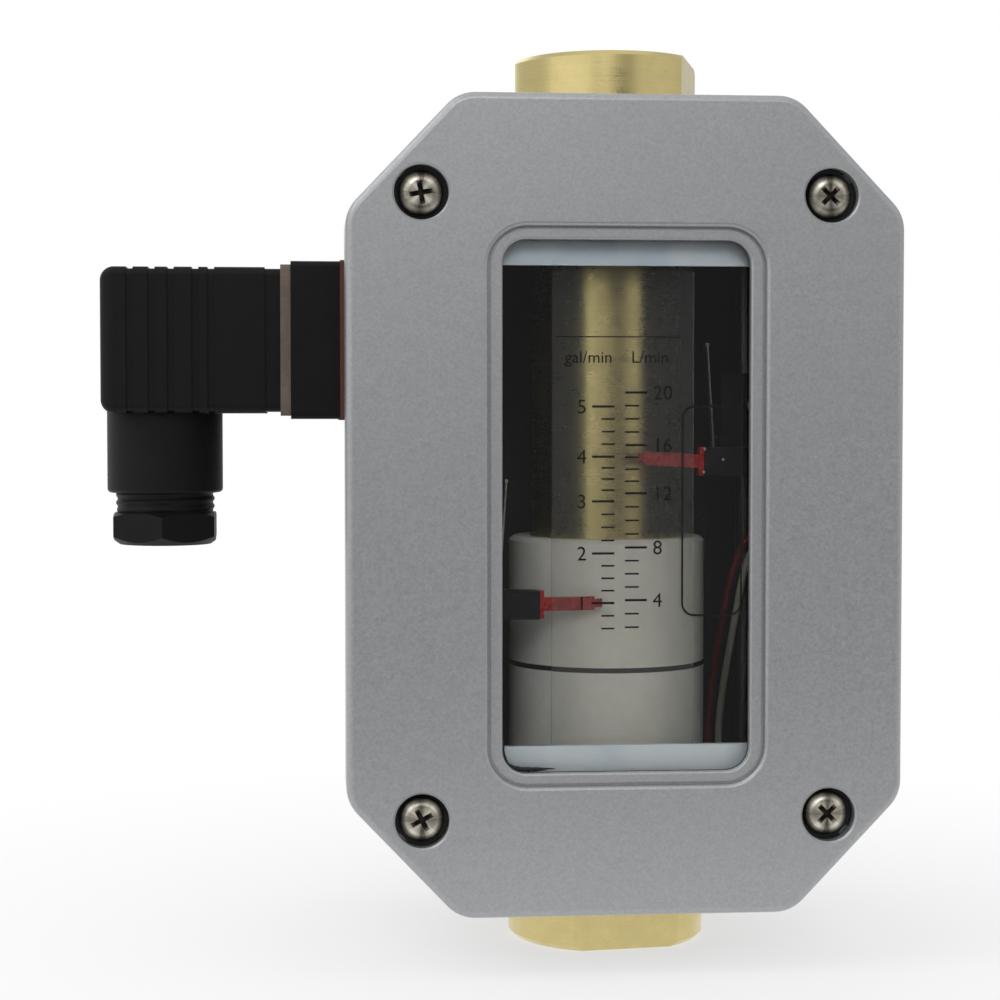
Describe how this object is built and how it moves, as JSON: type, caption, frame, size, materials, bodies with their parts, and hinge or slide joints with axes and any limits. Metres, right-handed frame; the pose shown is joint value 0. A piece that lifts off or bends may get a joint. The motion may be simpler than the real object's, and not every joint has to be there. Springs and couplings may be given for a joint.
{
  "type": "flow alarm",
  "caption": "In-line variable-area flow meter with a piston, a magnetic follower, a clear scale, adjustable alarm switches, a painted octagonal housing and an angled plug.",
  "frame": {"origin": "centre of the inlet port's end face", "axes": "+Z along the pipe in the direction of flow, the window faces -Y, +X to the reader's right"},
  "size_m": [0.145, 0.074, 0.168],
  "materials": {
    "brass": "turned, satin",
    "housing_paint": "metallic grey, fine orange peel",
    "stainless": "turned, lightly brushed",
    "zinc_plate": "bright zinc, bluish",
    "black_plastic": "fine spark texture",
    "black_rubber": "matte",
    "red_rubber": "matte silicone",
    "tan_gasket": "matte",
    "glass": "clear, polished",
    "clear_scale": "clear sheet with cut edges",
    "clear_sticker": "clear film",
    "white_plastic": "smooth, slight sheen",
    "index_black": "satin",
    "pointer_red": "translucent red",
    "magnet": "ground ferrite",
    "lead_insulation": "red and white leads"
  },
  "bodies": {
    "meter": {"base_screws": "zinc_plate", "connector_base": "black_plastic", "contact_pins": "brass", "cover_gasket": "black_rubber", "cover_screws": "stainless", "flow_label": "clear_sticker", "front_cover": "housing_paint", "gland_screw": "black_plastic", "gland_seal": "black_rubber", "guide_rods": "stainless", "lower_bracket": "zinc_plate", "lower_spider": "stainless", "metering_cone": "stainless", "outlet_fitting": "brass", "outlet_oring": "black_rubber", "pipe_wall_seals": "black_rubber", "plug_gasket": "tan_gasket", "plug_housing": "black_plastic", "plug_screw": "stainless", "pressure_casing": "brass", "rear_housing": "housing_paint", "retainer_screws": "zinc_plate", "rod_nuts": "zinc_plate", "scale_screws": "zinc_plate", "scale_strip": "clear_scale", "terminal_insert": "black_plastic", "upper_bracket": "zinc_plate", "upper_spider": "stainless", "wall_gasket": "red_rubber", "window_gasket": "black_rubber", "window_glass": "glass", "window_retainer": "zinc_plate", "wire_harness": "lead_insulation"},
    "piston": {"piston_sleeve": "brass", "orifice_disc": "stainless", "transfer_magnet": "magnet", "magnet_retainer": "stainless", "return_spring": "stainless"},
    "follower": {"follower_sleeve": "white_plastic", "follower_magnet": "magnet", "index_band": "index_black"},
    "low_carriage": {"low_carriage": "black_plastic", "low_pointer": "pointer_red", "low_switch_case": "black_plastic", "low_switch_screws": "zinc_plate", "low_switch_terminals": "brass", "low_switch_leads": "lead_insulation"},
    "low_lever": {"low_switch_lever": "stainless"},
    "low_plunger": {"low_switch_plunger": "black_plastic"},
    "low_lock_screw": {"low_lock_screw": "stainless"},
    "high_carriage": {"high_carriage": "black_plastic", "high_pointer": "pointer_red", "high_switch_case": "black_plastic", "high_switch_screws": "zinc_plate", "high_switch_terminals": "brass", "high_switch_leads": "lead_insulation"},
    "high_lever": {"high_switch_lever": "stainless"},
    "high_plunger": {"high_switch_plunger": "black_plastic"},
    "high_lock_screw": {"high_lock_screw": "stainless"}
  },
  "joints": [
    {"name": "piston_slide", "type": "slide", "parent": "meter", "child": "piston", "axis": [0, 0, 1], "range_m": [0, 0.0516], "stiffness_N_per_m": 60, "springref_m": -0.02, "deforming": ["return_spring"]},
    {"name": "follower_slide", "type": "slide", "parent": "meter", "child": "follower", "axis": [0, 0, 1], "range_m": [0, 0.0516]},
    {"name": "low_set_slide", "type": "slide", "parent": "meter", "child": "low_carriage", "axis": [0, 0, 1], "range_m": [-0.0042, 0.039], "deforming": ["low_switch_leads"]},
    {"name": "low_lever_hinge", "type": "hinge", "parent": "low_carriage", "child": "low_lever", "pos_m": [-0.021, 0.0003, 0.0648], "axis": [0, -1, 0], "range_deg": [0, 5], "stiffness_Nm_per_rad": 0.02, "springref_deg": -2.86},
    {"name": "low_plunger_slide", "type": "slide", "parent": "low_carriage", "child": "low_plunger", "axis": [-1, 0, 0], "range_m": [0, 0.00044]},
    {"name": "low_lock_turn", "type": "hinge", "parent": "low_carriage", "child": "low_lock_screw", "pos_m": [-0.038, 0.0085, 0.0758], "axis": [-1, 0, 0], "range_deg": [0, 180]},
    {"name": "high_set_slide", "type": "slide", "parent": "meter", "child": "high_carriage", "axis": [0, 0, 1], "range_m": [-0.0305, 0.0127], "deforming": ["high_switch_leads"]},
    {"name": "high_lever_hinge", "type": "hinge", "parent": "high_carriage", "child": "high_lever", "pos_m": [0.021, 0.0003, 0.0911], "axis": [0, 1, 0], "range_deg": [0, 5], "stiffness_Nm_per_rad": 0.02, "springref_deg": -2.86},
    {"name": "high_plunger_slide", "type": "slide", "parent": "high_carriage", "child": "high_plunger", "axis": [1, 0, 0], "range_m": [0, 0.00044]},
    {"name": "high_lock_turn", "type": "hinge", "parent": "high_carriage", "child": "high_lock_screw", "pos_m": [0.038, 0.0085, 0.1021], "axis": [1, 0, 0], "range_deg": [0, 180]}
  ],
  "couplings": [
    {"joint": "follower_slide", "follows": "piston_slide", "ratio": 1},
    {"joint": "low_plunger_slide", "follows": "low_lever_hinge", "m_per_rad": 0.005},
    {"joint": "high_plunger_slide", "follows": "high_lever_hinge", "m_per_rad": 0.005}
  ]
}
